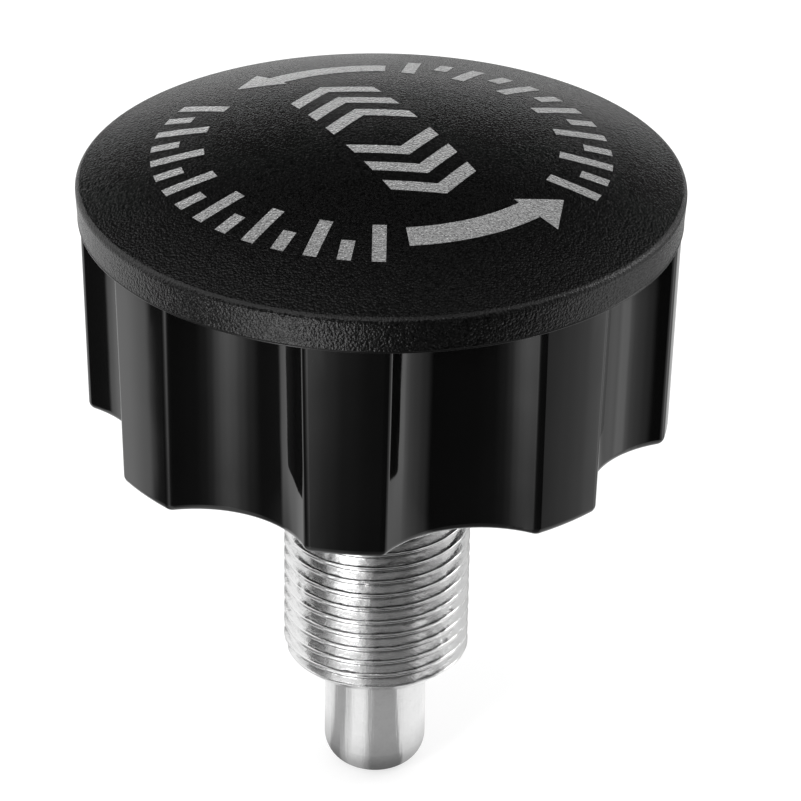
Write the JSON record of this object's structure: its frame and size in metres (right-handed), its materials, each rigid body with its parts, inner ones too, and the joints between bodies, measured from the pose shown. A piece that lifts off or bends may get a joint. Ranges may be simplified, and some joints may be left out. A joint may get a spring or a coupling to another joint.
{
  "type": "spring pull pin knob",
  "caption": "Threaded barrel with a sprung round-nosed locking pin, pulled and turned by a lobed knob with a textured cap.",
  "frame": {"origin": "on the pin's axis at the barrel's end face, where the nose comes out", "axes": "+Z along the axis from the nose towards the knob; one lobe faces -Y"},
  "size_m": [0.0562, 0.0562, 0.0685],
  "materials": {
    "gloss_black": "polished black moulding",
    "textured_black": "spark-grain black moulding with a semi-gloss sheen",
    "plated_steel": "bright plated, rolled thread",
    "pin_steel": "turned and bright plated",
    "spring_steel": "drawn spring wire",
    "hardware_steel": "plated"
  },
  "bodies": {
    "barrel": {"threaded_barrel": "plated_steel", "spring": "spring_steel"},
    "knob": {"knob_body": "gloss_black", "top_cap": "textured_black", "plunger_pin": "pin_steel", "washer": "hardware_steel", "lock_nut": "hardware_steel"}
  },
  "joints": [
    {"name": "pull", "type": "slide", "parent": "barrel", "child": "knob", "axis": [0, 0, 1], "range_m": [0, 0.011], "stiffness_N_per_m": 3000, "springref_m": -0.005, "deforming": ["spring"]}
  ]
}
